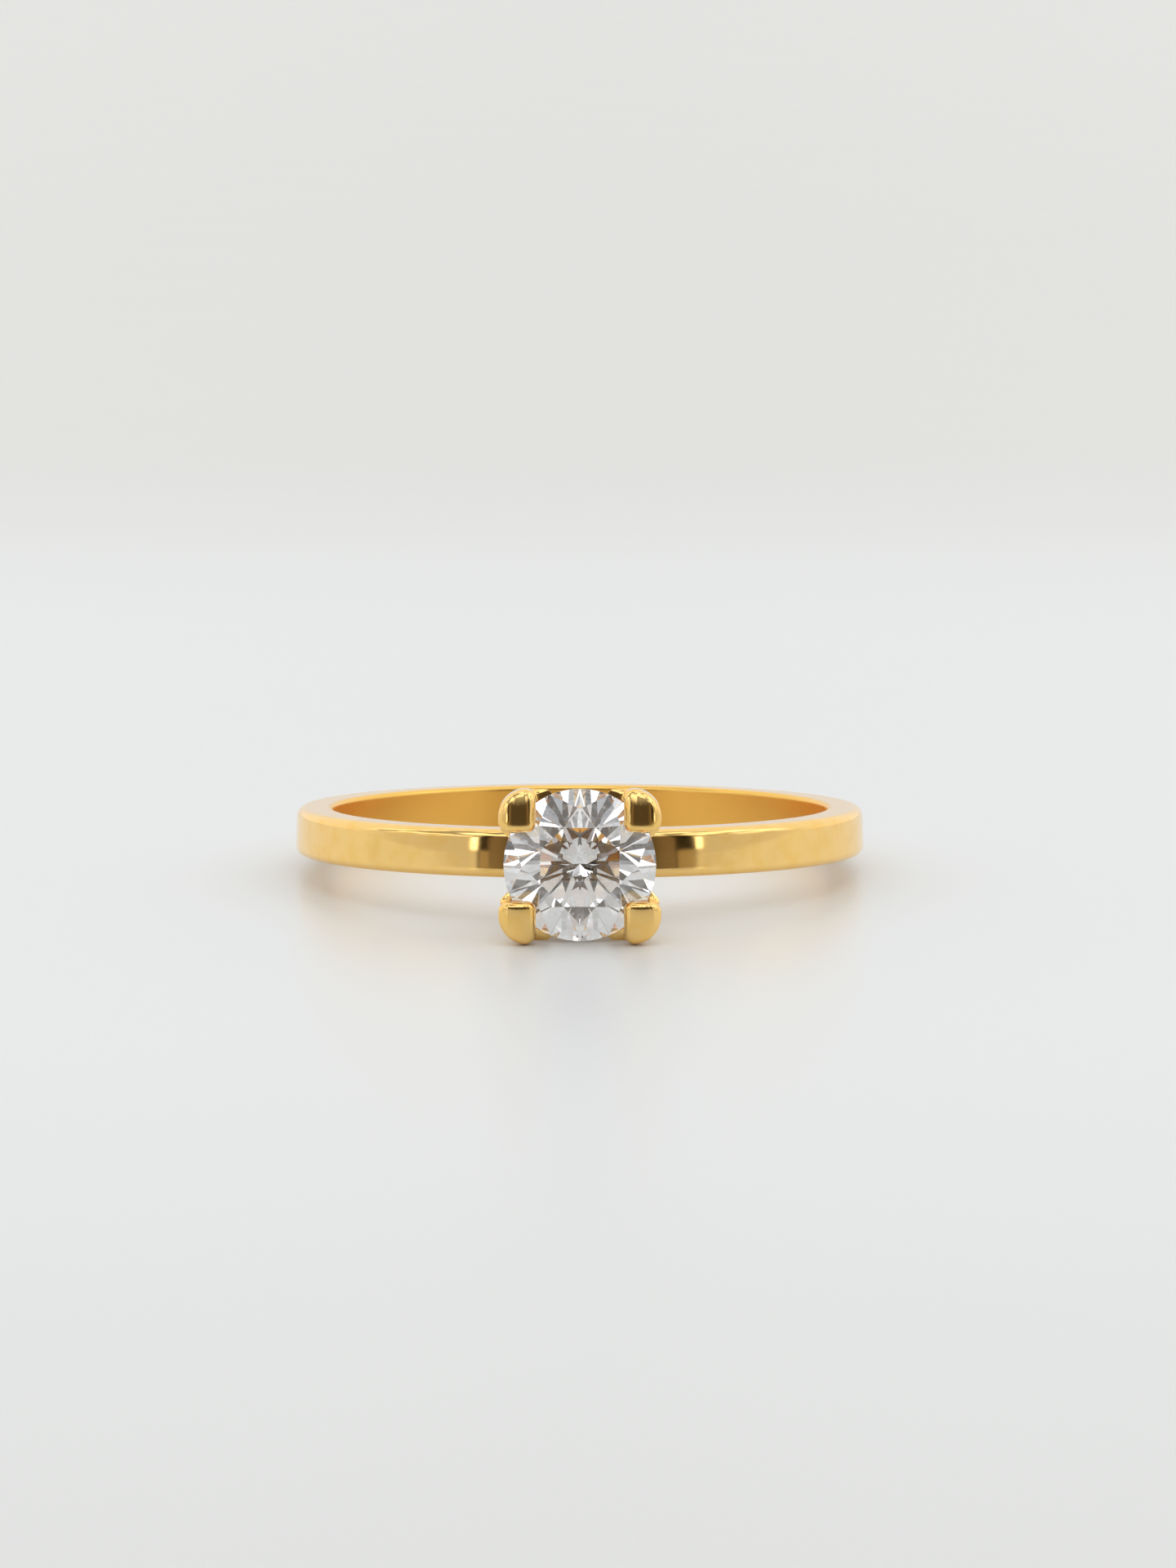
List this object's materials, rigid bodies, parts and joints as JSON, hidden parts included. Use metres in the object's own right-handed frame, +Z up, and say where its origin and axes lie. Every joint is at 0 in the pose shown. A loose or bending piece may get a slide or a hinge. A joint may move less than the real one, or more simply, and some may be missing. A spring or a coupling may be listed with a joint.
{
  "type": "engagement ring",
  "caption": "Slim rounded finger band with an open claw head on a collet and gallery rail, holding a round faceted stone.",
  "frame": {"origin": "on the ground, under the middle of the outline of the ring lying on its two lower claws and the back edge of its band", "axes": "+Z up from the ground, +Y from the stone across the finger hole to the back of the band, +X to the right for someone facing the stone"},
  "size_m": [0.0202, 0.0248, 0.0052],
  "materials": {
    "gold": "polished yellow gold",
    "diamond": "cut and polished, colourless"
  },
  "bodies": {
    "root": {"shank": "gold", "base_collet": "gold", "gallery_rail": "gold", "claw_upper_left": "gold", "claw_upper_right": "gold", "claw_lower_left": "gold", "claw_lower_right": "gold", "stone": "diamond"}
  },
  "joints": []
}
